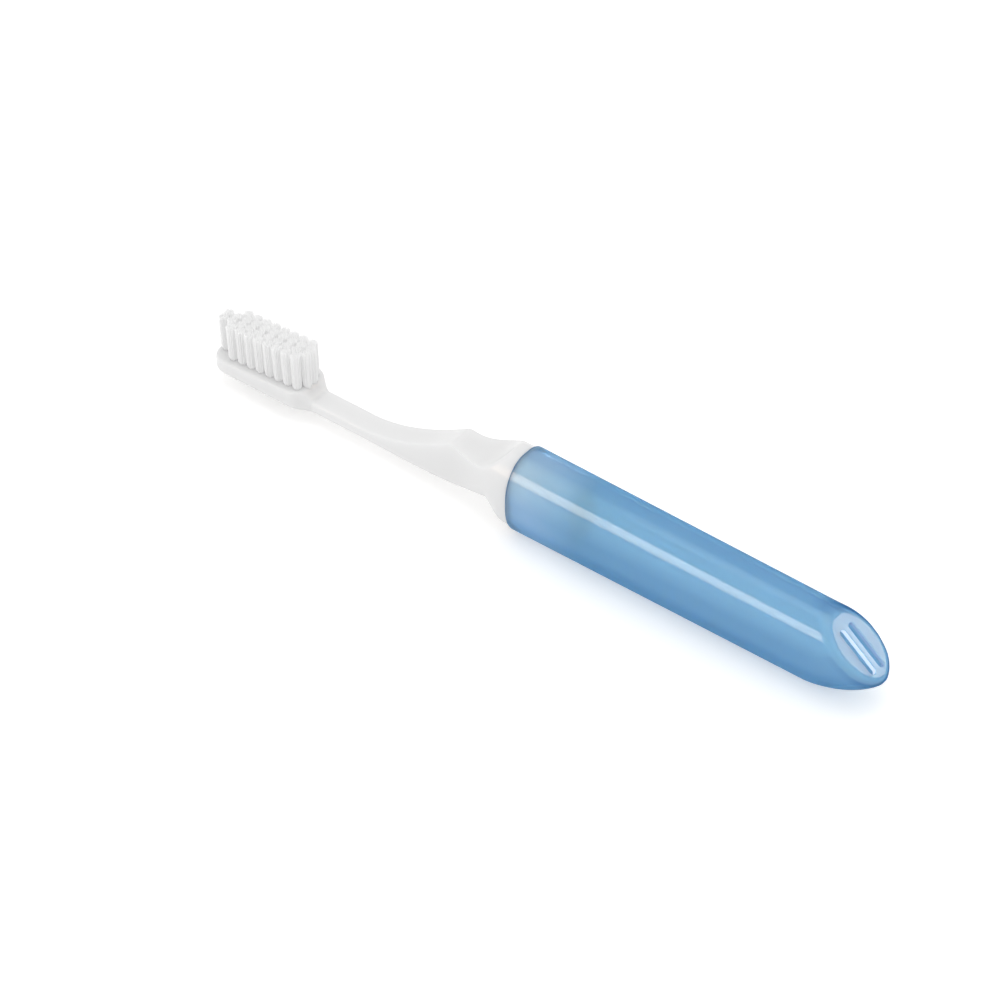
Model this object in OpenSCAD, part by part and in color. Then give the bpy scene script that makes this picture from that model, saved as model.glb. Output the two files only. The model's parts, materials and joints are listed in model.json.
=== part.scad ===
// Two-piece travel toothbrush: a short brush whose oval plug sits in the mouth of a long
// translucent case tube, which is the handle in use and the cover of the bristles in the bag.
// +X runs along the tube's axis from the head to the nose, +Z is up, and the origin lies under
// the middle of the brush on the surface that the tube rests on.

/* [Case tube] */
// Length of the case tube from its mouth to the tip of its nose
case_length = 94.2; // [80:0.2:120]
// Width of the tube's oval
case_width = 15; // [14:0.5:20]
// Height of the tube's oval
case_height = 20.4; // [19:0.2:26]
// Wall of the tube
case_wall = 1.2; // [0.9:0.1:1.6]
// How much lower the tube's top is where the nose starts, with its underside level
case_top_draft = 1.0; // [0.4:0.1:1.6]
// How much narrower each side of the tube is where the nose starts
case_side_draft = 0.3; // [0.1:0.05:0.6]
// Share of the half width and half height that the oval's corner curves take
oval_corner_share = 0.872; // [0.8:0.01:0.95]
// Chamfer round the outer edge of the mouth
mouth_chamfer = 0.3; // [0.1:0.05:0.5]

/* [Case nose] */
// Length along the axis over which the underside sweeps up to the tip
nose_length = 17.4; // [13:0.2:22]
// Angle between the slanted nose face and the axis
nose_slope = 38.7; // [35:0.1:50]
// Length along the axis over which the sides round in to the tip
nose_taper_length = 16.8; // [14:0.2:22]
// Fullness of the sides in plan, where 2 is an ellipse
nose_taper_power = 2.6; // [2:0.1:3.2]
// Radius of the rounded rim of the slanted face
nose_rim = 1.45; // [0.8:0.05:2]
// How far the tip of the nose lies below the axis
nose_tip_drop = 2.05; // [0:0.05:3]
// Roundness of the sweep under the nose, where 2 is an ellipse
nose_sweep_power = 1.4; // [1.3:0.05:2.2]

/* [Vents] */
// Overall length of a vent slot
vent_length = 11.3; // [7:0.1:12]
// Width of a vent slot
vent_width = 1.6; // [1:0.1:2]
// Distance between the centre lines of the two vent slots
vent_spacing = 3; // [2.6:0.1:4]
// How far the vents lie down the slanted face from its middle
vent_offset = 0.65; // [0:0.05:2]

/* [Plug and collar] */
// Length of the plug inside the tube
plug_length = 15; // [12:0.5:20]
// Clearance between the plug and the tube all round
plug_clearance = 0.1; // [0.05:0.01:0.15]
// Bevel round the end of the plug
plug_bevel = 0.6; // [0.3:0.1:1]
// Wall of the cored plug
plug_wall = 1.8; // [1.4:0.1:2.4]
// Depth of the core in the plug
core_depth = 11; // [6:0.5:12]
// How far the collar stays inside the tube's outline
collar_inset = 0.5; // [0.3:0.1:0.8]
// Length of the collar at its full section
collar_length = 2.5; // [2:0.5:5]

/* [Grip] */
// Distance from the mouth to the ridge where the thumb scoop starts
ridge_distance = 18; // [16:0.5:24]
// Height of the ridge over the axis
ridge_level = 5.2; // [4:0.2:6.5]
// Width of the grip at the ridge
ridge_width = 7; // [6:0.2:9]
// Radius of the thumb scoop
scoop_radius = 12.3; // [10:0.1:18]
// Depth of the thumb scoop below the ridge
scoop_dip = 0.85; // [0.3:0.05:1.5]
// How far behind the ridge the scoop is at the ridge's height
scoop_setback = 0.3; // [0.1:0.1:1]
// Distance below the axis of the underside at the foot of the flare
grip_drop = 5.2; // [4.5:0.1:7]
// Distance from the mouth to the foot of the flare under the grip
flare_length = 8; // [7:0.5:12]

/* [Neck] */
// Width of the neck
neck_width = 5.8; // [5:0.2:7]
// Thickness of the neck
neck_thickness = 3.2; // [2.6:0.1:4]
// Distance from the axis down to the underside of the neck
neck_drop = 7.4; // [6:0.1:8]
// Distance from the mouth to the point where the neck's top starts to rise
rise_distance = 44; // [38:1:50]
// Sharpness of the rise, where 1 is a straight ramp
rise_power = 1.75; // [1.4:0.05:2.2]
// Radius of the edges along the top of the neck and the head
top_edge_radius = 0.5; // [0.3:0.05:0.8]
// Radius of the edges along the underside of the neck
neck_under_radius = 1.3; // [0.8:0.1:1.4]

/* [Head] */
// Length of the brush outside the tube, from the mouth to the tip of the head
brush_reach = 85.3; // [78:0.1:100]
// Length of the head from the middle of its shoulders to its tip
head_length = 25.6; // [24:0.1:32]
// Width of the head
head_width = 10.9; // [10:0.1:12]
// Thickness of the head at its middle
head_thickness = 4.6; // [4.2:0.1:5.4]
// Distance from the axis down to the middle of the bristle deck
deck_drop = 2.3; // [1.8:0.1:3]
// Forward tilt of the bristle deck
head_pitch = 3; // [0:0.5:6]
// Length of the shoulders between the neck and the head
shoulder_length = 5; // [4:0.5:8]
// Length of the rounded front of the head
head_front_length = 4.8; // [4:0.2:6]
// Squareness of the rounded front in plan, where 2 is an ellipse
head_front_power = 2.4; // [2:0.1:3]
// Radius of the edges along the underside of the head
head_under_radius = 1.7; // [1:0.1:2]

/* [Bristles] */
// Distance between tufts along a row
tuft_pitch = 2.62; // [2.5:0.02:2.8]
// Distance between rows
row_spacing = 2; // [1.9:0.05:2.3]
// Number of tufts in each inner row
inner_count = 10; // [6:1:10]
// Distance from the tip of the head to the first tuft of an inner row
front_margin = 1.6; // [1.4:0.05:2]
// Diameter of the folded root of a tuft
tuft_diameter = 1.65; // [1.4:0.05:1.7]
// Depth of a tuft hole
tuft_depth = 3; // [2.6:0.1:3.2]
// Clearance between a tuft's root and its hole
tuft_clearance = 0.03; // [0.02:0.01:0.06]
// Height of the bristles over the deck
bristle_height = 9; // [7:0.5:12]
// How much the tips differ in height
tip_unevenness = 0.25; // [0:0.05:0.5]
// Circumradius of one strand
strand_radius = 0.19; // [0.12:0.01:0.2]
// Outward lean of the outermost strands of a tuft
strand_splay = 0.6; // [0:0.1:2]

/* [Anchors] */
// Thickness of an anchor plate
anchor_thickness = 0.25; // [0.2:0.05:0.3]
// Height of an anchor plate
anchor_height = 1.4; // [1:0.1:1.6]
// How far an anchor plate bites into the wall on each side of its hole
anchor_bite = 0.2; // [0.1:0.05:0.25]
// Height of the bend of the filaments under an anchor plate
fold_height = 0.4; // [0.3:0.05:0.6]

/* [Hidden] */
// Straight steps in each quarter curve of the tube's oval and of the brush body's sections
case_corner_steps = 9;
body_corner_steps = 6;
// Rings in the fan of the nose, in its rim, and in each stretch of the brush body
nose_steps = 10;
rim_steps = 5;
grip_steps = 20;
neck_steps = 9;
ramp_steps = 4;
shoulder_steps = 5;
front_steps = 9;
// Overrun of a cut past the surface that it opens
cut_overrun = 1;
// Strands in the middle, the inner ring and the outer ring of a tuft
strand_counts = [1, 4, 8];
// Places of those rings as shares of the tuft's radius
strand_ring_shares = [0, 0.4, 0.74];
// How far the strands are rooted in the folded root
strand_root = 0.5;
// Outer rows start one tuft and a half behind the inner rows and end half a tuft before them
outer_lag_share = 1.5;
outer_count = inner_count - 2;
row_count = 4;
// Turn from one ring of strands to the next, and the turn that sets how the tips differ
ring_turn = 20;
uneven_turn = 77;
// Sharpness of the curve along the underside, where 1 is a straight ramp
underside_power = 2.8;
// Lateness of the widening from the ridge to the collar, where 1 is even
flare_power = 1.05;
// Length of the ramp from the neck's top up to the deck
deck_ramp = 2.8;
// Largest share of a thin section that its corner curves take
slim_share = 0.8;
// The last ring of the head's front, as an angle of its quarter curve
front_end_angle = 87;
// How far past the tip the rounding of the nose's sides would close
taper_overrun = 0.15;

axis_level = case_height / 2;
plug_inset = case_wall + plug_clearance;
neck_level = neck_thickness - neck_drop;
deck_middle = brush_reach - head_length / 2;
shoulder_start = brush_reach - head_length - shoulder_length / 2;
shoulder_end = shoulder_start + shoulder_length;
head_bottom = deck_drop + head_thickness;
front_start = brush_reach - head_front_length;

// Tuft centres: row, place in the row, distance from the mouth and offset from the middle
tuft_places = [
    for (row = [0 : row_count - 1])
        let (outer = row == 0 || row == row_count - 1)
        let (count = outer ? outer_count : inner_count)
        let (lag = outer ? outer_lag_share * tuft_pitch : 0)
        for (column = [0 : count - 1])
            [row, column, brush_reach - front_margin - lag - column * tuft_pitch,
             (row - (row_count - 1) / 2) * row_spacing]
];

function tuft_name(place) = str("tuft_row", place[0] + 1, "_", place[1] + 1);

function mix(a, b, share) = a + (b - a) * share;
function ease(share) = let (s = max(0, min(1, share))) s * s * (3 - 2 * s);

// Closed surface through rings of equally many points, with a flat cap on the first and the last
module skin(rings) {
    n = len(rings[0]);
    last = len(rings) - 1;
    sides = [
        for (r = [0 : last - 1])
            for (i = [0 : n - 1])
                let (a = r * n + i, b = r * n + (i + 1) % n)
                each [[a, b, b + n], [a, b + n, a + n]]
    ];
    first_cap = [for (i = [n - 1 : -1 : 0]) i];
    last_cap = [for (i = [0 : n - 1]) last * n + i];
    polyhedron(points = [for (ring = rings) each ring],
               faces = concat(sides, [first_cap, last_cap]), convexity = 8);
}

// Oval with flats between elliptical corners, as [across, up] from its centre
function oval(half_width, half_height, corner_width, corner_height, steps) = [
    for (quarter = [0 : 3])
        for (i = [0 : steps])
            let (angle = 90 * (quarter + i / steps))
            let (side = quarter == 0 || quarter == 3 ? 1 : -1)
            let (lift = quarter < 2 ? 1 : -1)
            [side * (half_width - corner_width) + corner_width * cos(angle),
             lift * (half_height - corner_height) + corner_height * sin(angle)]
];

// Extent of the corner curves of an oval of a given half size, after an inset
function corner_of(half_size, inset) = oval_corner_share * half_size - inset;

// The tube's sides and top at a distance from its mouth, which draw in by its draft up to the nose
function draft_share(x) = min(1, x / nose_start);
function case_side(x) = case_width / 2 - case_side_draft * draft_share(x);
function case_top(x) = case_height / 2 - case_top_draft * draft_share(x);
case_bottom = -case_height / 2;
nose_start = case_length - nose_length;
taper_start = case_length + taper_overrun - nose_taper_length;
face_axis_x = case_length - nose_tip_drop / tan(nose_slope);

// Curve that falls from 1 to 0, flat at its start and steep at its end
function quarter_curve(share, power) = pow(1 - pow(max(0, min(1, share)), power), 1 / power);

// Half width of the tube's oval at a distance from its mouth, and its level underneath
function case_reach(x, inset) =
    let (share = (x - taper_start) / (nose_taper_length - inset))
    (case_side(x) - inset) * quarter_curve(share, nose_taper_power);
function case_under(x, inset) =
    let (rise = quarter_curve((x - nose_start) / (nose_length - inset), nose_sweep_power))
    mix(-nose_tip_drop, case_bottom + inset, rise);

// Half width of the tube at a distance from its mouth and a level
function case_half_width(x, level, inset) =
    let (reach = case_reach(x, inset))
    let (half_height = (case_top(x) - inset - case_under(x, inset)) / 2)
    let (corner_width = max(corner_of(reach + inset, inset), reach / 2))
    let (corner_height = corner_of(half_height + inset, inset))
    let (past_flat = abs(level - case_top(x) + inset + half_height) - half_height + corner_height)
    reach - corner_width + corner_width * sqrt(1 - pow(max(0, min(1, past_flat / corner_height)), 2));

// Ring of the tube in a plane that leans between a top and a bottom point of the middle plane,
// drawn in towards its own middle by the rounding of a rim
function case_ring(top, bottom, inset, draw_in = 0) =
    let (middle = (top + bottom) / 2)
    let (half = (top - bottom) / 2)
    let (turns = oval(1, 1, oval_corner_share, oval_corner_share, case_corner_steps))
    let (places = [for (p = turns) middle + half * p[1]])
    let (widths = [for (p = places) case_half_width(p[0], p[1], inset)])
    let (across = 1 - draw_in / max(widths))
    let (along = 1 - draw_in / norm(half))
    [
        for (i = [0 : len(turns) - 1])
            let (place = middle + (places[i] - middle) * along)
            [place[0], sign(turns[i][0]) * widths[i] * across, place[1]]
    ];

// Upright ring of the straight tube
function upright_ring(x, inset) = case_ring([x, case_top(x) - inset], [x, case_bottom + inset], inset);

// Point of the sweep under the nose, for an angle from 0 at its start to 90 at the tip
function sweep_point(angle, inset) =
    let (power = 2 / nose_sweep_power)
    [nose_start + (nose_length - inset) * pow(sin(angle), power),
     -nose_tip_drop + (case_bottom + inset + nose_tip_drop) * pow(cos(angle), power)];

// Depth of a point under the plane of the slanted face
function face_depth(p) = (face_axis_x - p[0]) * sin(nose_slope) - p[1] * cos(nose_slope);

// Angle at which the sweep reaches a given depth, found by halving
function sweep_angle(depth, inset, low = 0, high = 90, rounds = 24) =
    let (middle = (low + high) / 2)
    rounds == 0 ? middle
    : face_depth(sweep_point(middle, inset)) > depth ? sweep_angle(depth, inset, middle, high, rounds - 1)
    : sweep_angle(depth, inset, low, middle, rounds - 1);

// Point of the top line at a given depth under the face
function top_point(depth, inset) =
    let (level = case_top(nose_start) - inset)
    [face_axis_x - level / tan(nose_slope) - depth / sin(nose_slope), level];

// Rings of the fan, from the straight tube to the foot of the rim
function fan_rings(inset, rim) =
    let (foot = inset + rim)
    let (last_angle = sweep_angle(foot, inset))
    let (start = [nose_start, case_top(nose_start) - inset])
    [
        for (i = [1 : nose_steps])
            let (share = i / nose_steps)
            case_ring(mix(start, top_point(foot, inset), share),
                      sweep_point(last_angle * share, inset), inset)
    ];

// Rings of the rounded rim, from its foot to the flat of the face
function rim_rings(inset, rim) = [
    for (i = [1 : rim_steps])
        let (angle = 90 * i / rim_steps)
        let (depth = inset + rim * (1 - sin(angle)))
        case_ring(top_point(depth, inset), sweep_point(sweep_angle(depth, inset), inset), inset,
                  rim * (1 - cos(angle)))
];

function reversed(list) = [for (i = [len(list) - 1 : -1 : 0]) list[i]];

// The mouth's place, with the brush and the nose reaching as far on either side of the origin
nose_reach = max([for (ring = rim_rings(0, nose_rim)) for (p = ring) p[0]]);
mouth_x = (brush_reach - nose_reach) / 2;

// Places things that are measured from the mouth and the axis
module at_mouth() translate([mouth_x, 0, axis_level]) children();

module case_tube() {
    inner_rim = max(nose_rim - case_wall, nose_rim / 4);
    lip = [upright_ring(0, mouth_chamfer), upright_ring(mouth_chamfer, 0)];
    outer = concat(lip, [upright_ring(nose_start, 0)], fan_rings(0, nose_rim), rim_rings(0, nose_rim));
    inner = concat([upright_ring(0, case_wall), upright_ring(nose_start, case_wall)],
                   fan_rings(case_wall, inner_rim), rim_rings(case_wall, inner_rim));
    color([0.36, 0.60, 0.84, 0.75])
    at_mouth()
    difference() {
        skin(concat(reversed(outer), inner));
        for (side = [-1, 1]) vent_slot(side * vent_spacing / 2);
    }
}

// Slot with round ends, cut square through the slanted face
module vent_slot(offset) {
    level = (case_top(nose_start) - nose_tip_drop) / 2;
    reach = (vent_length - vent_width) / 2;
    cut_depth = case_wall + 2 * cut_overrun;
    translate([face_axis_x - level / tan(nose_slope), offset, level])
    rotate([0, nose_slope, 0])
    translate([0, 0, -case_wall - cut_overrun]) {
        translate([vent_offset - reach, -vent_width / 2, 0]) cube([2 * reach, vent_width, cut_depth]);
        for (end = [-1, 1])
            translate([vent_offset + end * reach, 0, 0])
            cylinder(h = cut_depth, d = vent_width, $fn = 24);
    }
}

// Brush body: sections at distances from the mouth towards the head, each given as
// [half width, top, bottom, across and up of the top corners, across and up of the bottom corners]
collar_side = case_side(0) - collar_inset;
collar_top = case_top(0) - collar_inset;
collar_corner = [corner_of(case_side(0), collar_inset), corner_of(case_top(0), collar_inset)];

// Line of the deck, which tilts down towards the tip of the head
function deck_level(u) = -deck_drop - tan(head_pitch) * (u - deck_middle);

// Top of the neck, which rises through the ridge until the collar's top limits it
function neck_top(u) =
    let (share = max(0, (rise_distance - u) / (rise_distance - ridge_distance)))
    min(collar_top, neck_level + (ridge_level - neck_level) * pow(share, rise_power));

// Underside of the neck, which curves up under the fingers
function neck_bottom(u) =
    let (share = max(0, min(1, (rise_distance - u) / (rise_distance - flare_length))))
    -neck_drop + (neck_drop - grip_drop) * pow(share, underside_power);

function grip_section(u) =
    let (swell = ease((rise_distance - u) / (rise_distance - ridge_distance)))
    let (flare = ease(pow(max(0, (ridge_distance - u) / (ridge_distance - collar_length)), flare_power)))
    let (under = ease((flare_length - u) / (flare_length - collar_length)))
    [
        mix(mix(neck_width, ridge_width, swell) / 2, collar_side, flare),
        neck_top(u),
        mix(neck_bottom(u), -collar_top, under),
        mix(top_edge_radius, collar_corner[0], flare),
        mix(top_edge_radius, collar_corner[1], flare),
        mix(neck_under_radius, collar_corner[0], flare),
        mix(neck_under_radius, collar_corner[1], flare)
    ];

// Drop of a quarter round of a given radius at a distance from the edge that it rounds
function edge_drop(distance, radius) =
    let (share = max(0, 1 - distance / radius))
    radius * (1 - sqrt(1 - share * share));

function head_section(u) =
    let (swell = ease((u - shoulder_start) / shoulder_length))
    let (climb = ease((u - shoulder_start) / deck_ramp))
    let (front = max(0, (u - front_start) / head_front_length))
    let (half_width = mix(neck_width, head_width, swell) / 2 * quarter_curve(front, head_front_power))
    let (top = mix(neck_level, deck_level(u), climb) - edge_drop(brush_reach - u, top_edge_radius))
    let (bottom = mix(-neck_drop, -head_bottom, swell) + edge_drop(brush_reach - u, head_under_radius))
    let (under_radius = mix(neck_under_radius, head_under_radius, swell))
    [
        half_width, top, bottom,
        min(top_edge_radius, slim_share * half_width), min(top_edge_radius, slim_share * (top - bottom) / 2),
        min(under_radius, slim_share * half_width), min(under_radius, slim_share * (top - bottom) / 2)
    ];

// Ring of the brush body from such a section
function body_ring(u, s) = [
    for (quarter = [0 : 3])
        for (i = [0 : body_corner_steps])
            let (angle = 90 * (quarter + i / body_corner_steps))
            let (side = quarter == 0 || quarter == 3 ? 1 : -1)
            let (over = quarter < 2)
            let (across = over ? s[3] : s[5])
            [-u, side * (s[0] - across) + across * cos(angle),
             over ? s[1] - s[4] + s[4] * sin(angle) : s[2] + s[6] + s[6] * sin(angle)]
];

// Section of the plug, which follows the tube's oval and its draft inside it
function plug_ring(u, inset) =
    let (side = case_side(-u))
    let (half_height = (case_top(-u) - case_bottom) / 2)
    let (corner = [corner_of(side, inset), corner_of(half_height, inset)])
    body_ring(u, concat([side - inset, case_top(-u) - inset, case_bottom + inset], corner, corner));

function body_rings() = concat(
    [
        plug_ring(core_depth - plug_length, plug_inset + plug_wall),
        plug_ring(-plug_length, plug_inset + plug_wall),
        plug_ring(-plug_length, plug_inset + plug_bevel),
        plug_ring(plug_bevel - plug_length, plug_inset),
        plug_ring(0, plug_inset),
        plug_ring(0, collar_inset)
    ],
    [
        for (i = [0 : grip_steps])
            let (u = mix(collar_length, ridge_distance, i / grip_steps))
            body_ring(u, grip_section(u))
    ],
    [
        for (i = [1 : neck_steps])
            let (u = mix(ridge_distance, shoulder_start, i / neck_steps))
            body_ring(u, grip_section(u))
    ],
    [
        for (i = [1 : ramp_steps])
            let (u = shoulder_start + deck_ramp * i / ramp_steps)
            body_ring(u, head_section(u))
    ],
    [
        for (i = [1 : shoulder_steps])
            let (u = mix(shoulder_start + deck_ramp, shoulder_end, i / shoulder_steps))
            body_ring(u, head_section(u))
    ],
    [
        for (i = [0 : front_steps])
            let (share = pow(sin(front_end_angle * i / front_steps), 2 / head_front_power))
            let (u = front_start + head_front_length * share)
            body_ring(u, head_section(u))
    ]
);

// Places things on the tilted deck at a distance from the mouth and an offset from the middle
module on_deck(u, offset) translate([-u, offset, deck_level(u)]) rotate([0, -head_pitch, 0]) children();

module brush_body() {
    scoop_back = sqrt(scoop_radius * scoop_radius - pow(scoop_radius - scoop_dip, 2));
    color([0.93, 0.94, 0.94])
    at_mouth()
    difference() {
        skin(body_rings());
        translate([scoop_back + scoop_setback - ridge_distance, 0, ridge_level - scoop_dip + scoop_radius])
        rotate([90, 0, 0])
        cylinder(h = case_width, r = scoop_radius, center = true, $fn = 96);
        for (place = tuft_places) on_deck(place[2], place[3]) {
            translate([0, 0, -tuft_depth])
            cylinder(h = tuft_depth + cut_overrun, d = tuft_diameter + 2 * tuft_clearance, $fn = 16);
            anchor_plate();
        }
    }
}

// Flat plate that wedges the folded filaments at the bottom of their hole
module anchor_plate() {
    span = tuft_diameter + 2 * tuft_clearance + 2 * anchor_bite;
    translate([-span / 2, -anchor_thickness / 2, fold_height - tuft_depth])
    cube([span, anchor_thickness, anchor_height]);
}

module tuft_anchors() {
    color([0.80, 0.74, 0.58])
    at_mouth()
    for (place = tuft_places) on_deck(place[2], place[3]) anchor_plate();
}

// One tuft: strands that stand on their folded root, which is threaded round its anchor
module tuft(place) {
    color([0.96, 0.97, 0.97])
    at_mouth()
    on_deck(place[2], place[3]) {
        difference() {
            translate([0, 0, -tuft_depth]) cylinder(h = tuft_depth, d = tuft_diameter, $fn = 16);
            anchor_plate();
        }
        for (ring = [0 : len(strand_counts) - 1])
            for (i = [0 : strand_counts[ring] - 1])
                strand(strand_ring_shares[ring], 360 * i / strand_counts[ring] + ring_turn * ring,
                       tip_unevenness * sin(uneven_turn * (place[1] + 1) * (ring + 1) + uneven_turn * i));
    }
}

// One strand, rooted off the tuft's middle by a share of its radius and leaning out by that share
module strand(ring_share, angle, extra) {
    rotate([0, 0, angle])
    translate([ring_share * tuft_diameter / 2, 0, -strand_root])
    rotate([0, strand_splay * ring_share, 0])
    cylinder(h = strand_root + bristle_height + extra, r = strand_radius, $fn = 3);
}

case_tube();
brush_body();
tuft_anchors();
for (place = tuft_places) tuft(place);
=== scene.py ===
import json
import math
import random

import bmesh
import bpy
from mathutils import Matrix, Vector

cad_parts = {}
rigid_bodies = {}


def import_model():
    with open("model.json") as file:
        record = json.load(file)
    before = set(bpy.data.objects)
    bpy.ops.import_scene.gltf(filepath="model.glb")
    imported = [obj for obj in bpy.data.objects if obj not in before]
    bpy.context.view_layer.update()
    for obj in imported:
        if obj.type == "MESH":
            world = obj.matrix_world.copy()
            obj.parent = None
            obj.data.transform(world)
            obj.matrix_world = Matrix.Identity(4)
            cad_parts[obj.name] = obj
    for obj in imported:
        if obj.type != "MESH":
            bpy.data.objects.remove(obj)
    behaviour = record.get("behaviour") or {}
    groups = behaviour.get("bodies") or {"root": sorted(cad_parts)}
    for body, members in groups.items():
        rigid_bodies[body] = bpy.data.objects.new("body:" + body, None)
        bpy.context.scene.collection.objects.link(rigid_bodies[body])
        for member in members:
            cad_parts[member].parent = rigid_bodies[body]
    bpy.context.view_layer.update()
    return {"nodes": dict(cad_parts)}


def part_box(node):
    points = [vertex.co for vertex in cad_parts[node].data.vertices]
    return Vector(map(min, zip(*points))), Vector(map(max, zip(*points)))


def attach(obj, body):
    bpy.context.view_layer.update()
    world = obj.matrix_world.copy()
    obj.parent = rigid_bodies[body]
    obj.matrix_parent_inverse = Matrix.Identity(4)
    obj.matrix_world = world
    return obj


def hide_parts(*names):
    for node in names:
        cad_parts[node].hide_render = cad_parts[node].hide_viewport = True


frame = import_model()


# Camera: the photograph looks down at 41 degrees from 38 degrees right of the long side, through a
# long lens. It stands off along that direction from the middle of the tube's mouth, and aims a
# little to the left of it and lower, which brings the mouth to its place in the frame.
tube_low, tube_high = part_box("case_tube")
mouth = Vector((tube_low.x, 0, (tube_high.z - tube_low.z) / 2))
photo_size = 1000
photo_mouth = (526.1, 487.75)
view_azimuth, view_elevation = math.radians(38.17), math.radians(41)
camera_distance = 1.0716
camera_lens, camera_sensor = 180, 36
nearest_seen, farthest_seen = 0.05, 20
back = Vector((
    math.sin(view_azimuth) * math.cos(view_elevation),
    -math.cos(view_azimuth) * math.cos(view_elevation),
    math.sin(view_elevation),
))
right = Vector((math.cos(view_azimuth), math.sin(view_azimuth), 0))
upward = back.cross(right)
pixel = camera_distance * camera_sensor / camera_lens / photo_size
aim = (
    mouth
    - right * (photo_mouth[0] - photo_size / 2) * pixel
    + upward * (photo_mouth[1] - photo_size / 2) * pixel
)
bpy.ops.object.camera_add(location=aim + back * camera_distance)
camera = bpy.context.object
camera.name = "photo_camera"
camera.data.lens, camera.data.sensor_width = camera_lens, camera_sensor
camera.data.clip_start, camera.data.clip_end = nearest_seen, farthest_seen
camera.rotation_euler = (-back).to_track_quat("-Z", "Y").to_euler()
bpy.context.scene.camera = camera
bpy.context.scene.view_settings.view_transform = "Standard"


# Floor: a plain white studio sheet under the tube, matt and very large. Where it is seen, mirrored
# or looked at through something it glows a little, so that it comes out white and still keeps the
# soft shadow of the brush.
class Socket:
    """A shader socket in an expression, whose operators add Math nodes."""

    def __init__(self, tree, link):
        self.tree = tree
        self.link = link

    def math(self, operation, first, second):
        made = self.tree.nodes.new("ShaderNodeMath")
        made.operation = operation
        for target, value in zip(made.inputs, (first, second)):
            fill(target, value)
        return Socket(self.tree, made.outputs[0])

    def __add__(self, other):
        return self.math("ADD", self, other)

    def __radd__(self, other):
        return self.math("ADD", other, self)

    def __sub__(self, other):
        return self.math("SUBTRACT", self, other)

    def __rsub__(self, other):
        return self.math("SUBTRACT", other, self)

    def __mul__(self, other):
        return self.math("MULTIPLY", self, other)

    def __rmul__(self, other):
        return self.math("MULTIPLY", other, self)

    def __truediv__(self, other):
        return self.math("DIVIDE", self, other)

    def __rtruediv__(self, other):
        return self.math("DIVIDE", other, self)

    def __gt__(self, other):
        return self.math("GREATER_THAN", self, other)

    def __lt__(self, other):
        return self.math("LESS_THAN", self, other)

    def __abs__(self):
        return self.math("ABSOLUTE", self, 0)


def fill(target, value):
    """Gives a node's input its value, or links it to a socket."""
    if isinstance(value, Socket):
        value.tree.links.new(value.link, target)
    else:
        target.default_value = value


class Finish:
    """A new material, with one method that adds its nodes."""

    def __init__(self, name):
        self.material = bpy.data.materials.new(name)
        self.material.use_nodes = True
        self.tree = self.material.node_tree
        self.tree.nodes.clear()

    def node(self, kind, inputs, settings=None, output=0):
        """Adds a node: its settings first, then its inputs, by name or number."""
        made = self.tree.nodes.new(kind)
        for key, value in (settings or {}).items():
            setattr(made, key, value)
        for key, value in inputs.items():
            fill(made.inputs[key], value)
        return Socket(self.tree, made.outputs[output])

    def noise(self, scale, detail):
        """Soft random pattern from 0 to 1, fixed to the piece."""
        place = self.node("ShaderNodeTexCoord", {}, output="Object")
        return self.node("ShaderNodeTexNoise", {"Vector": place, "Scale": scale, "Detail": detail})

    def between(self, share, first, second):
        """Colour between two others, each of them three numbers or a socket."""
        first, second = (end if isinstance(end, Socket) else (*end, 1) for end in (first, second))
        return self.node(
            "ShaderNodeMix", {"Factor": share, 6: first, 7: second}, {"data_type": "RGBA"}, output=2
        )

    def surface(self, shader):
        """Ends the material with its shader."""
        made = self.tree.nodes.new("ShaderNodeOutputMaterial")
        fill(made.inputs["Surface"], shader)
        return self.material


floor_size = 3
bpy.ops.object.select_all(action="DESELECT")
bpy.ops.mesh.primitive_plane_add(size=floor_size)
floor = bpy.context.object
floor.name = "studio_floor"
paper = Finish("white_paper")
paper_matt = paper.node("ShaderNodeBsdfDiffuse", {"Color": (0.86, 0.86, 0.86, 1)})
paper_glow = paper.node("ShaderNodeEmission", {"Color": (1, 0.99, 0.975, 1), "Strength": 0.37})
paper_bright = paper.node("ShaderNodeAddShader", {0: paper_matt, 1: paper_glow})
seen, mirrored, seen_through = (
    paper.node("ShaderNodeLightPath", {}, output=ray)
    for ray in ("Is Camera Ray", "Is Glossy Ray", "Is Transmission Ray")
)
paper_shown = paper.node(
    "ShaderNodeMixShader", {0: seen + mirrored + seen_through, 1: paper_matt, 2: paper_bright}
)
floor.data.materials.append(paper.surface(paper_shown))


# Studio light: a white room, a broad soft box overhead and a low one in front that doesn't show in
# gloss. Two warm cards of light show in gloss alone: as the bright stripe along the tube's near
# shoulder, and as the sheen of the flat face at its nose.
room_brightness, card_colour = 0.83, (1, 0.78, 0.6)
world = bpy.data.worlds.new("white_room")
bpy.context.scene.world = world
world.use_nodes = True
room = world.node_tree.nodes["Background"]
room.inputs["Color"].default_value = (1, 1, 1, 1)
room.inputs["Strength"].default_value = room_brightness


def soft_box(name, place, target, size, power):
    """New lamp that shines from a rectangle towards a target."""
    bpy.ops.object.light_add(type="AREA", location=place)
    lamp = bpy.context.object
    lamp.name = name
    lamp.data.shape = "RECTANGLE"
    lamp.data.size, lamp.data.size_y = size
    lamp.data.energy = power
    lamp.rotation_euler = (Vector(target) - Vector(place)).to_track_quat("-Z", "Y").to_euler()
    return lamp


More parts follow.
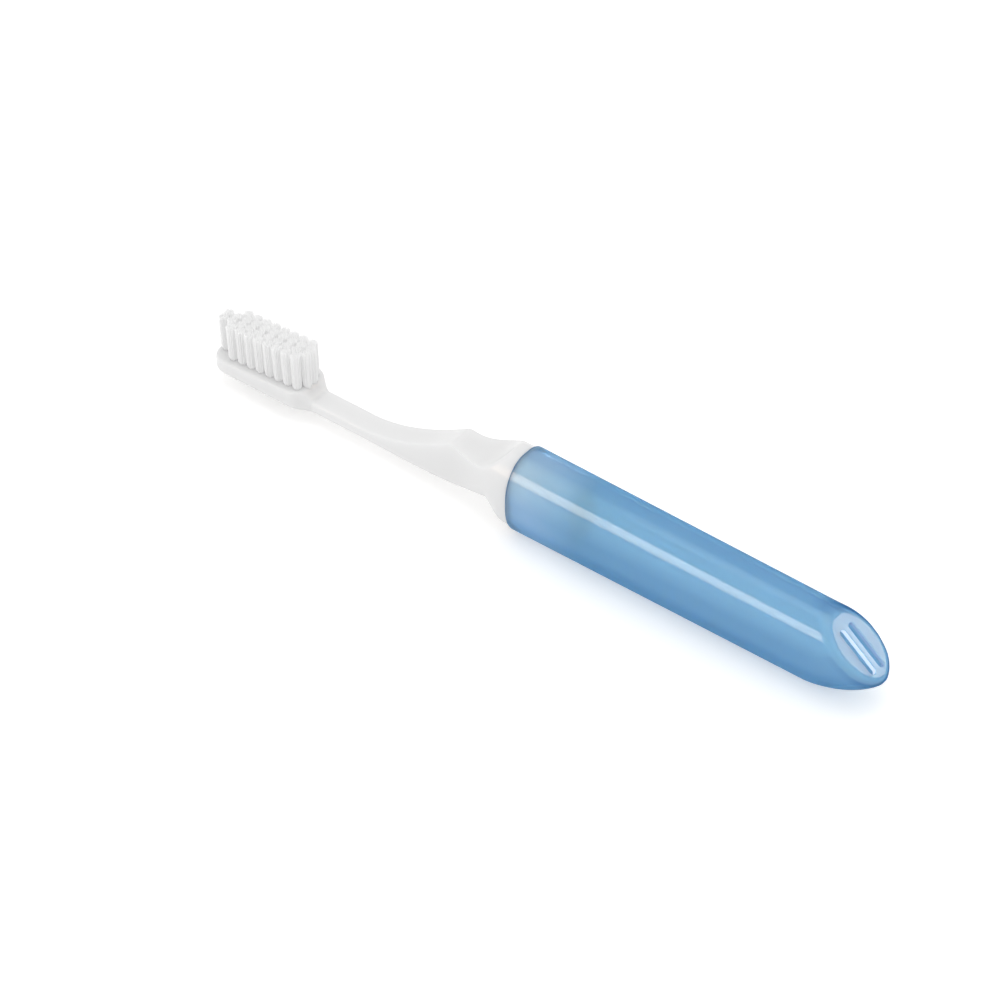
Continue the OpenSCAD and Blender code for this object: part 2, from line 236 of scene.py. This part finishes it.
soft_box("overhead_box", place=(0, 0.15, 0.9), target=(0, 0, 0), size=(0.8, 0.6), power=1.2)
near_fill = soft_box(
    "near_fill",
    place=(-0.15, -0.9, 0.3),
    target=(0, 0, 0.01),
    size=(0.5, 0.3),
    power=1.0,
)
near_fill.visible_glossy = False
stripe_card = soft_box(
    "stripe_card",
    place=(-0.32, -0.6, 0.27),
    target=(0.02, 0, 0.01),
    size=(0.3, 0.28),
    power=1.35,
)
face_card = soft_box(
    "face_card",
    place=(0.427, 0.372, 0.334),
    target=(0.083, 0, 0.014),
    size=(0.11, 0.11),
    power=0.25,
)
for card in (stripe_card, face_card):
    card.visible_diffuse = False
    card.data.color = card_colour


# Case tube: one moulding in translucent blue plastic, an oval tube that narrows a little from its
# open mouth to a slanted nose. It comes off a core, so its walls are even, and the rim of the flat
# face and the lip of the mouth are rounded.
mm = 0.001
case_wall = 1.2 * mm
case_top_draft, case_side_draft = 1.0 * mm, 0.3 * mm
oval_corner_share = 0.872
case_length, nose_length = 94.2 * mm, 17.4 * mm
nose_taper_length, nose_taper_power, taper_overrun = 16.8 * mm, 2.6, 0.15 * mm
nose_slope = math.radians(38.7)
nose_rim, inner_rim = 1.45 * mm, 0.36 * mm
nose_tip_drop, nose_sweep_power = 2.05 * mm, 1.4
corner_steps, nose_steps, rim_steps, halvings = 20, 20, 8, 30
lip_round = 0.3 * mm
sharp_turn, smooth_turn = math.radians(60), math.radians(40)
half_width = (tube_high.y - tube_low.y) / 2
half_height = mouth.z
nose_start = case_length - nose_length
nose_top = half_height - case_top_draft
face_foot = case_length - nose_tip_drop / math.tan(nose_slope)


def ease(share):
    """Rises smoothly from 0 to 1, level at both ends."""
    share = max(0.0, min(1.0, share))
    return share * share * (3 - 2 * share)


def mix(first, second, share):
    """Value that lies a share of the way from one to another."""
    return first + (second - first) * share


def quarter_curve(share, power):
    """Falls from 1 to 0, flat at its start and steep at its end."""
    return (1 - max(0.0, min(1.0, share)) ** power) ** (1 / power)


def tube_half_width(along, level, inset):
    """Half width of the tube at a distance from its mouth and a level over its axis."""
    drafted = min(1.0, along / nose_start)
    taper = (along - case_length - taper_overrun + nose_taper_length) / (nose_taper_length - inset)
    side = (half_width - case_side_draft * drafted - inset) * quarter_curve(taper, nose_taper_power)
    top = half_height - case_top_draft * drafted - inset
    sweep = quarter_curve((along - nose_start) / (nose_length - inset), nose_sweep_power)
    bottom = mix(-nose_tip_drop, inset - half_height, sweep)
    across = max(oval_corner_share * (side + inset) - inset, side / 2)
    up = oval_corner_share * ((top - bottom) / 2 + inset) - inset
    past_flat = (abs(level - (top + bottom) / 2) - (top - bottom) / 2 + up) / up
    return side - across * (1 - math.sqrt(1 - max(0.0, min(1.0, past_flat)) ** 2))


def tube_ring(top, bottom, inset, draw_in=0.0):
    """Ring of the wall in a plane that leans between two points of the middle plane, drawn in
    towards its own middle by the rounding of the rim. Points are given from the mouth's middle."""
    middle, half = (top + bottom) / 2, (top - bottom) / 2
    places, widths = [], []
    for quarter in range(4):
        side = 1 if quarter in (0, 3) else -1
        up = 1 if quarter < 2 else -1
        for step in range(corner_steps + 1):
            turn = math.pi / 2 * (quarter + step / corner_steps)
            lift = oval_corner_share * math.sin(turn) + (1 - oval_corner_share) * up
            place = middle + half * lift
            places.append(place)
            widths.append(side * tube_half_width(place.x, place.z, inset))
    across, along = 1 - draw_in / max(widths), 1 - draw_in / half.length
    return [
        mouth + middle.lerp(place, along) + Vector((0, wide * across, 0))
        for place, wide in zip(places, widths)
    ]


def sweep_point(sweep, inset):
    """Point of the sweep under the nose, from 0 at its start to a quarter turn at the tip."""
    power = 2 / nose_sweep_power
    along = nose_start + (nose_length - inset) * math.sin(sweep) ** power
    drop = (half_height - inset - nose_tip_drop) * max(0.0, math.cos(sweep)) ** power
    return Vector((along, 0, -nose_tip_drop - drop))


def sweep_to_depth(depth, inset):
    """How far round the sweep lies at a depth under the slanted face, found by halving."""
    low, high = 0.0, math.pi / 2
    for _ in range(halvings):
        middle = (low + high) / 2
        point = sweep_point(middle, inset)
        below_face = (face_foot - point.x) * math.sin(nose_slope) - point.z * math.cos(nose_slope)
        low, high = (middle, high) if below_face > depth else (low, middle)
    return low


def top_to_depth(depth, inset):
    """Point of the tube's top line at a depth under the slanted face."""
    level = nose_top - inset
    along = face_foot - level / math.tan(nose_slope) - depth / math.sin(nose_slope)
    return Vector((along, 0, level))


def wall_rings(inset, rim):
    """Rings of one side of the wall, from the mouth to the flat of the face."""
    start, foot = Vector((nose_start, 0, nose_top - inset)), inset + rim
    foot_sweep = sweep_to_depth(foot, inset)
    rings = [
        tube_ring(Vector((0, 0, half_height - inset)), Vector((0, 0, inset - half_height)), inset),
        tube_ring(start, Vector((nose_start, 0, inset - half_height)), inset),
    ]
    for step in range(1, nose_steps + 1):
        top = start.lerp(top_to_depth(foot, inset), step / nose_steps)
        rings.append(tube_ring(top, sweep_point(foot_sweep * step / nose_steps, inset), inset))
    for step in range(1, rim_steps + 1):
        turn = math.pi / 2 * step / rim_steps
        depth, draw_in = inset + rim * (1 - math.sin(turn)), rim * (1 - math.cos(turn))
        bottom = sweep_point(sweep_to_depth(depth, inset), inset)
        rings.append(tube_ring(top_to_depth(depth, inset), bottom, inset, draw_in))
    return rings


def only(piece):
    """Leaves one object selected and active."""
    bpy.ops.object.select_all(action="DESELECT")
    piece.select_set(True)
    bpy.context.view_layer.objects.active = piece


def skin(name, rings):
    """New object with one surface through rings of equally many points, closed at both ends."""
    cage = bmesh.new()
    loops = [[cage.verts.new(point) for point in ring] for ring in rings]
    for near, far in zip(loops, loops[1:]):
        for place in range(len(near)):
            cage.faces.new((near[place - 1], far[place - 1], far[place], near[place]))
    cage.faces.new(loops[0])
    cage.faces.new(reversed(loops[-1]))
    bmesh.ops.recalc_face_normals(cage, faces=cage.faces)
    made = bpy.data.objects.new(name, bpy.data.meshes.new(name))
    cage.to_mesh(made.data)
    cage.free()
    bpy.context.collection.objects.link(made)
    only(made)
    return made


def round_sharp_edges(radius, segments):
    """Rounds the edges of the active object that turn sharply."""
    bpy.ops.object.mode_set(mode="EDIT")
    bpy.ops.mesh.select_mode(type="EDGE")
    bpy.ops.mesh.select_all(action="DESELECT")
    bpy.ops.mesh.edges_select_sharp(sharpness=sharp_turn)
    bpy.ops.mesh.bevel(offset=radius, segments=segments, affect="EDGES")
    bpy.ops.object.mode_set(mode="OBJECT")


tube = skin("case_tube_moulding", wall_rings(case_wall, inner_rim)[::-1] + wall_rings(0, nose_rim))
round_sharp_edges(lip_round, segments=4)

# The two vents are slots with round ends, cut square through the slanted face, with soft edges.
# The rounding of a cutter's corners stays just short of half its width, so that they don't meet.
vent_length, vent_width, vent_spacing, vent_offset = 11.3 * mm, 1.6 * mm, 3 * mm, 0.65 * mm
vent_edge, vent_end_share, vent_end_steps = 0.15 * mm, 0.499, 12
cutter_depth = 4 * case_wall
face_middle = (nose_top - nose_tip_drop) / 2
vent_middle = mouth + Vector((
    face_foot - face_middle / math.tan(nose_slope) + vent_offset * math.cos(nose_slope),
    0,
    face_middle - vent_offset * math.sin(nose_slope),
))
for side in (-1, 1):
    bpy.ops.object.select_all(action="DESELECT")
    bpy.ops.mesh.primitive_cube_add(size=1, scale=(vent_length, vent_width, cutter_depth))
    cutter = bpy.context.object
    bpy.ops.object.transform_apply(scale=True)
    bpy.ops.object.mode_set(mode="EDIT")
    bpy.ops.mesh.select_all(action="DESELECT")
    cage = bmesh.from_edit_mesh(cutter.data)
    for edge in cage.edges:
        edge.select_set(abs(edge.verts[0].co.z - edge.verts[1].co.z) > case_wall)
    bmesh.update_edit_mesh(cutter.data)
    bpy.ops.mesh.bevel(offset=vent_width * vent_end_share, segments=vent_end_steps, affect="EDGES")
    bpy.ops.object.mode_set(mode="OBJECT")
    cutter.rotation_euler = (0, nose_slope, 0)
    cutter.location = vent_middle + Vector((0, side * vent_spacing / 2, 0))
    cut = tube.modifiers.new("vent", "BOOLEAN")
    cut.operation, cut.solver, cut.object = "DIFFERENCE", "EXACT", cutter
    only(tube)
    bpy.ops.object.modifier_apply(modifier="vent")
    bpy.data.objects.remove(cutter)
round_sharp_edges(vent_edge, segments=3)
bpy.ops.object.shade_smooth_by_angle(angle=smooth_turn)
even = tube.modifiers.new("flat_stays_flat", "WEIGHTED_NORMAL")
even.weight, even.keep_sharp = 100, True
bpy.ops.object.modifier_apply(modifier="flat_stays_flat")

# The plastic is a cloudy blue that deepens where it is seen edge on. At the lip and round the rim
# of the flat face, where one looks along its wall, a deep blue is painted in as shade, for the dark
# line that refraction in the wall gives there.
lip_depth, lip_share = 0.5 * mm, 1.3
rim_depth, rim_start, rim_turn, rim_share = 3.5 * mm, 0.4 * mm, 0.38, 2.6
painted_edge_shade_blue = (0.01, 0.15, 0.40)
blue = Finish("translucent_blue_plastic")
cloud = blue.noise(60, 3)
ripple = blue.noise(140, 2)
grazing = blue.node("ShaderNodeLayerWeight", {"Blend": 0.75}, output="Facing")
place = blue.node("ShaderNodeTexCoord", {}, output="Object")
along, across, level = (
    blue.node("ShaderNodeSeparateXYZ", {"Vector": place}, output=axis) for axis in "XYZ"
)
slope_sin, slope_cos = math.sin(nose_slope), math.cos(nose_slope)
face_depth = (mouth.x + face_foot - along) * slope_sin - (level - mouth.z) * slope_cos
near_lip = blue.node(
    "ShaderNodeMath", {0: lip_share - (along - mouth.x) / lip_depth, 1: 0}, {"operation": "MAXIMUM"}
)
rim_zone = blue.node(
    "ShaderNodeMath",
    {0: face_depth / rim_start, 1: 1 - face_depth / rim_depth},
    {"operation": "MINIMUM"},
)
rim_zone = blue.node("ShaderNodeMath", {0: rim_zone, 1: 0}, {"operation": "MAXIMUM"})
near_rim = rim_zone * (grazing - rim_turn) * rim_share
# Mask of the painted edge shade at the lip and round the rim of the flat face.
painted_edge_shade = blue.node("ShaderNodeMath", {0: near_lip, 1: near_rim}, {"operation": "MAXIMUM"})

# Light that travels inside the wall and leaves it at the cut walls of the vents is painted in as a
# glow: most at the inner wall of the near vent, less with each wall beyond it, and none at the
# outer wall of the near vent.
glow_middle, glow_fall = 0.55, 0.15 / mm
down_face = (along - vent_middle.x) * slope_cos - (level - vent_middle.z) * slope_sin
vent_wall = (
    (face_depth > vent_edge / 2)
    * (face_depth < case_wall - vent_edge / 3)
    * (abs(across) < (vent_spacing + vent_width) / 2 + vent_edge)
    * (abs(down_face) < vent_length / 2 + vent_edge)
)
painted_vent_glow = vent_wall * (across > -vent_spacing / 2) * (glow_middle - across * glow_fall)

# A paler zone by the mouth, with a cloudy end, is painted into the colour as the light of the white
# plug seen through the wall; it stays where it is when the plug is pulled out.
plug_zone, plug_haze = 18 * mm, 12 * mm
plug_reach = (plug_zone - (along - mouth.x) + (cloud - 0.5) * plug_haze) / plug_haze
painted_plug_light = blue.node(
    "ShaderNodeMath", {0: plug_reach, 1: 0}, {"operation": "MAXIMUM", "use_clamp": True}
)
clear_blue = blue.between(cloud, (0.39, 0.68, 0.86), (0.43, 0.72, 0.89))
face_on = blue.between(painted_plug_light, clear_blue, (0.66, 0.84, 1.00))
edge_on = blue.between(painted_plug_light, (0.07, 0.33, 0.64), (0.14, 0.43, 0.75))
tone = blue.between(grazing * grazing, face_on, edge_on)
tube.data.materials.append(blue.surface(blue.node("ShaderNodeBsdfPrincipled", {
    "Base Color": blue.between(painted_edge_shade, tone, painted_edge_shade_blue),
    "Roughness": 0.26 + 0.06 * cloud,
    "IOR": 1.06,
    "Transmission Weight": 0.62,
    "Subsurface Weight": 1.0,
    "Subsurface Radius": (1, 1, 1),
    "Subsurface Scale": 0.0015,
    "Coat Weight": 1 - grazing,
    "Coat Roughness": 0.05,
    "Coat IOR": 1.58,
    # Emission here is the painted glow of the vent walls.
    "Emission Color": blue.between(painted_vent_glow, (0, 0, 0), (1, 1, 1)),
    "Emission Strength": 1,
    "Normal": blue.node("ShaderNodeBump", {"Strength": 0.05, "Distance": 0.0002, "Height": ripple}),
})))
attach(tube, "case")
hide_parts("case_tube")


# Brush body: one moulding in frosted white plastic, with the cored plug, the collar, the grip with
# its thumb scoop, the slim neck and the head in one piece. Its section runs from the tube's oval
# to a rounded bar and back out to the head, and its top is hollowed by one sweep of a cylinder.
plug_length, core_depth, plug_wall = 15 * mm, 11 * mm, 1.8 * mm
plug_inset, plug_bevel = 1.3 * mm, 0.6 * mm
collar_inset, collar_length = 0.5 * mm, 2.5 * mm
ridge_distance, ridge_level, ridge_width = 18 * mm, 5.2 * mm, 7 * mm
scoop_radius, scoop_dip, scoop_setback = 12.3 * mm, 0.85 * mm, 0.3 * mm
scoop_edge = 0.7 * mm
grip_drop, flare_length, flare_power = 5.2 * mm, 8 * mm, 1.05
neck_width, neck_thickness, neck_drop = 5.8 * mm, 3.2 * mm, 7.4 * mm
rise_distance, rise_power, underside_power = 44 * mm, 1.75, 2.8
top_edge_radius, neck_under_radius = 0.5 * mm, 1.3 * mm
brush_reach, head_length, head_width, head_thickness = 85.3 * mm, 25.6 * mm, 10.9 * mm, 4.6 * mm
deck_drop, head_pitch = 2.3 * mm, math.radians(3)
shoulder_length, deck_ramp = 5 * mm, 2.8 * mm
head_front_length, head_front_power, head_under_radius = 4.8 * mm, 2.4, 1.7 * mm
slim_share = 0.8
ring_spacing, front_steps, front_turn = 0.45 * mm, 18, math.radians(88.5)
neck_level = neck_thickness - neck_drop
shoulder_start = brush_reach - head_length - shoulder_length / 2
front_start = brush_reach - head_front_length


def deck_level(reach):
    """Level of the bristle deck over the tube's axis, at a distance from the mouth."""
    return -deck_drop - math.tan(head_pitch) * (reach - brush_reach + head_length / 2)


def scooped(level, reach):
    """A level, brought down under the thumb scoop with a rounded edge."""
    scoop_back = math.sqrt(scoop_radius**2 - (scoop_radius - scoop_dip) ** 2)
    away = reach - (ridge_distance - scoop_back - scoop_setback)
    if abs(away) > scoop_radius:
        return level
    scoop = ridge_level - scoop_dip + scoop_radius - math.sqrt(scoop_radius**2 - away**2)
    blend = max(0.0, 1 - abs(level - scoop) / scoop_edge)
    return min(level, scoop) - blend * blend * scoop_edge / 4


def body_ring(reach, wide, top, bottom, over, under):
    """One section, at a distance from the mouth, with the sizes of its upper and lower corners."""
    ring = []
    for quarter in range(4):
        side = 1 if quarter in (0, 3) else -1
        across, up = over if quarter < 2 else under
        level = top - up if quarter < 2 else bottom + up
        for step in range(corner_steps + 1):
            turn = math.pi / 2 * (quarter + step / corner_steps)
            out = side * (wide - across) + across * math.cos(turn)
            lift = scooped(level + up * math.sin(turn), reach)
            ring.append(mouth + Vector((-reach, out, lift)))
    return ring


def plug_ring(reach, inset):
    """Section of the plug, which follows the tube's oval and its draft."""
    share = max(0.0, -reach / nose_start)
    side = half_width - case_side_draft * share
    top = half_height - case_top_draft * share
    corner = (
        oval_corner_share * side - inset,
        oval_corner_share * (top + half_height) / 2 - inset,
    )
    return body_ring(reach, side - inset, top - inset, inset - half_height, corner, corner)


def grip_ring(reach):
    """Section of the neck, the grip and the collar."""
    collar_side, collar_top = half_width - collar_inset, half_height - collar_inset
    collar_corner = (
        oval_corner_share * half_width - collar_inset,
        oval_corner_share * half_height - collar_inset,
    )
    rise = max(0.0, (rise_distance - reach) / (rise_distance - ridge_distance))
    arch = max(0.0, min(1.0, (rise_distance - reach) / (rise_distance - flare_length)))
    past_ridge = max(0.0, (ridge_distance - reach) / (ridge_distance - collar_length))
    flare = ease(past_ridge**flare_power)
    under = ease((flare_length - reach) / (flare_length - collar_length))
    return body_ring(
        reach,
        mix(mix(neck_width, ridge_width, ease(rise)) / 2, collar_side, flare),
        min(collar_top, neck_level + (ridge_level - neck_level) * rise**rise_power),
        mix(-neck_drop + (neck_drop - grip_drop) * arch**underside_power, -collar_top, under),
        tuple(mix(top_edge_radius, bend, flare) for bend in collar_corner),
        tuple(mix(neck_under_radius, bend, flare) for bend in collar_corner),
    )


def head_ring(reach):
    """Section of the shoulders and the head."""
    swell = ease((reach - shoulder_start) / shoulder_length)
    ramp = ease((reach - shoulder_start) / deck_ramp)
    front = max(0.0, (reach - front_start) / head_front_length)
    front_curve = (1 - front**head_front_power) ** (1 / head_front_power)

    def edge_drop(radius):
        """How far an edge of this radius has bent away at the very front."""
        share = max(0.0, 1 - (brush_reach - reach) / radius)
        return radius * (1 - math.sqrt(1 - share * share))

    wide = mix(neck_width, head_width, swell) / 2 * front_curve
    top = mix(neck_level, deck_level(reach), ramp) - edge_drop(top_edge_radius)
    bottom = mix(-neck_drop, -deck_drop - head_thickness, swell) + edge_drop(head_under_radius)
    slim = (slim_share * wide, slim_share * (top - bottom) / 2)
    under_radius = mix(neck_under_radius, head_under_radius, swell)
    over = tuple(min(top_edge_radius, limit) for limit in slim)
    under = tuple(min(under_radius, limit) for limit in slim)
    return body_ring(reach, wide, top, bottom, over, under)


def spaced(start, end):
    """Distances from a start to an end, about a ring's spacing apart."""
    count = round((end - start) / ring_spacing)
    return [mix(start, end, step / count) for step in range(count)]


rings = [
    plug_ring(core_depth - plug_length, plug_inset + plug_wall),
    plug_ring(-plug_length, plug_inset + plug_wall),
    plug_ring(-plug_length, plug_inset + plug_bevel),
    plug_ring(plug_bevel - plug_length, plug_inset),
    plug_ring(0, plug_inset),
    plug_ring(0, collar_inset),
]
rings += [grip_ring(reach) for reach in spaced(collar_length, shoulder_start)]
rings += [head_ring(reach) for reach in spaced(shoulder_start, front_start)]
for step in range(front_steps + 1):
    along = math.sin(front_turn * step / front_steps) ** (2 / head_front_power)
    rings.append(head_ring(front_start + head_front_length * along))
brush = skin("brush_moulding", rings)

# The blind holes that hold the tufts are cored square to the tilted deck. Each row has its number
# of tufts and its setback behind the foremost tuft, in pitches.
tuft_rows = ((8, 1.5), (10, 0), (10, 0), (8, 1.5))
tuft_pitch, row_spacing, front_margin = 2.62 * mm, 2 * mm, 1.6 * mm
tuft_diameter, tuft_depth, hole_play, hole_sides = 1.65 * mm, 3 * mm, 0.03 * mm, 24
tufts = []
for row, (tuft_count, setback) in enumerate(tuft_rows):
    sideways = (row - (len(tuft_rows) - 1) / 2) * row_spacing
    for column in range(tuft_count):
        reach = brush_reach - front_margin - (column + setback) * tuft_pitch
        foot = mouth + Vector((-reach, sideways, deck_level(reach)))
        tufts.append((f"tuft_row{row + 1}_{column + 1}", foot))
bpy.ops.object.select_all(action="DESELECT")
for name, foot in tufts:
    bpy.ops.mesh.primitive_cylinder_add(
        vertices=hole_sides,
        radius=tuft_diameter / 2 + hole_play,
        depth=2 * tuft_depth,
        location=foot,
        rotation=(0, -head_pitch, 0),
    )
    bpy.context.object.name = "hole_core"
cores = [piece for piece in bpy.data.objects if piece.name.startswith("hole_core")]
for core in cores:
    core.select_set(True)
bpy.ops.object.join()
core = bpy.context.object
cut = brush.modifiers.new("tuft_holes", "BOOLEAN")
cut.operation, cut.solver, cut.object = "DIFFERENCE", "EXACT", core
only(brush)
bpy.ops.object.modifier_apply(modifier="tuft_holes")
bpy.data.objects.remove(core)
bpy.ops.object.shade_smooth_by_angle(angle=smooth_turn)

white = Finish("frosted_white_plastic")
grain = white.noise(900, 3)
flow = white.noise(45, 2)
frosting = white.node("ShaderNodeBump", {"Strength": 0.08, "Distance": 0.00005, "Height": grain})
brush.data.materials.append(white.surface(white.node("ShaderNodeBsdfPrincipled", {
    "Base Color": white.between(flow, (0.81, 0.81, 0.81), (0.84, 0.84, 0.84)),
    "Roughness": 0.32 + 0.1 * grain,
    "IOR": 1.49,
    "Specular IOR Level": 0.3,
    "Subsurface Weight": 0.6,
    "Subsurface Radius": (1, 1, 1),
    "Subsurface Scale": 0.003,
    "Coat Weight": 0.3,
    "Coat Roughness": 0.06,
    "Normal": frosting,
})))
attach(brush, "brush")
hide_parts("brush_body")


# Anchor plates: short bits of flat metal wire, one across the bottom of each hole, pressed in with
# the folded filaments. They are the CAD model's own plates, in drawn nickel silver.
wire = Finish("drawn_nickel_silver")
draw_marks = wire.noise(2500, 2)
anchors = frame["nodes"]["tuft_anchors"]
anchors.data.materials.clear()
anchors.data.materials.append(wire.surface(wire.node("ShaderNodeBsdfPrincipled", {
    "Base Color": wire.between(draw_marks, (0.60, 0.55, 0.42), (0.68, 0.63, 0.50)),
    "Metallic": 1.0,
    "Roughness": 0.25 + 0.15 * draw_marks,
})))


# Bristles: tufts of white nylon filaments, folded in half over their anchor plates and trimmed
# level, with the end of each filament rounded by grinding. They spread where they leave the hole.
filament_radius, filament_sides, filament_count = 0.085 * mm, 6, 64
bristle_height, root_depth, bulge_height, bulge_power = 9 * mm, 2.5 * mm, 0.6 * mm, 0.12
tuft_spread, filament_lean, tip_unevenness = 0.48 * mm, 0.06 * mm, 0.12 * mm
filament_tip, filament_seed = filament_radius, 36
bpy.ops.object.select_all(action="DESELECT")
bpy.ops.mesh.primitive_circle_add(
    vertices=filament_sides, radius=filament_radius, fill_type="NGON"
)
filament = bpy.context.object
bpy.ops.object.mode_set(mode="EDIT")
bpy.ops.mesh.select_all(action="SELECT")

# How far each length of a filament rises and the share of its width that it keeps: the root, the
# part that spreads, the straight part and the two steps of the rounded end.
for rise, share in (
    (root_depth, 1),
    (bulge_height, 1),
    (bristle_height - bulge_height - filament_tip, 1),
    (0.6 * filament_tip, 0.8),
    (0.4 * filament_tip, 0.35),
):
    bpy.ops.mesh.extrude_region_move(TRANSFORM_OT_translate={"value": (0, 0, rise)})
    bpy.ops.transform.resize(value=(share, share, 1), center_override=(0, 0, 0))
bpy.ops.mesh.select_all(action="SELECT")
bpy.ops.mesh.normals_make_consistent(inside=False)
bpy.ops.object.mode_set(mode="OBJECT")
bpy.ops.object.shade_smooth_by_angle(angle=sharp_turn)

# The filaments carry a faint white emission, a painted glow that lifts the shade between the tufts,
# standing in for light that passes through the nylon.
nylon = Finish("white_nylon_painted_glow")
nylon_tone = nylon.noise(300, 2)
nylon_surface = nylon.surface(nylon.node("ShaderNodeBsdfPrincipled", {
    "Base Color": nylon.between(nylon_tone, (0.71, 0.71, 0.71), (0.77, 0.77, 0.77)),
    "Roughness": 0.3,
    "IOR": 1.4,
    "Subsurface Weight": 1.0,
    "Subsurface Radius": (1, 1, 1),
    "Subsurface Scale": 0.001,
    "Emission Color": (1, 1, 1, 1),
    "Emission Strength": 0.15,
}))

# Each tuft is laid out like the seeds of a sunflower, a golden turn from one filament to the next.
shuffle = random.Random(filament_seed)
golden_turn = math.pi * (3 - math.sqrt(5))
deck_tilt = Matrix.Rotation(-head_pitch, 3, "Y")
for name, foot in tufts:
    cage = bmesh.new()
    twist = shuffle.uniform(0, 2 * math.pi)
    for place in range(filament_count):
        out = math.sqrt((place + 0.5) / filament_count) * (tuft_diameter / 2 - filament_radius)
        turn = twist + place * golden_turn
        root = Vector((out * math.cos(turn), out * math.sin(turn), 0))
        lean = Vector((shuffle.uniform(-1, 1), shuffle.uniform(-1, 1), 0)) * filament_lean
        fan = root * tuft_spread / (tuft_diameter / 2) + lean
        stretch = 1 + shuffle.uniform(-tip_unevenness, tip_unevenness) / bristle_height
        start = len(cage.verts)
        cage.from_mesh(filament.data)
        cage.verts.ensure_lookup_table()
        for point in cage.verts[start:]:
            rise = (point.co.z - root_depth) * stretch
            point.co.z = rise
            point.co += root + fan * (max(0.0, rise) / bristle_height) ** bulge_power
            point.co = foot + deck_tilt @ point.co
    tuft_mesh = bpy.data.meshes.new(f"bristles_{name}")
    cage.to_mesh(tuft_mesh)
    cage.free()
    tuft = bpy.data.objects.new(f"bristles_{name}", tuft_mesh)
    bpy.context.collection.objects.link(tuft)
    tuft.data.materials.append(nylon_surface)
    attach(tuft, "brush")
    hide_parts(name)
bpy.data.objects.remove(filament)
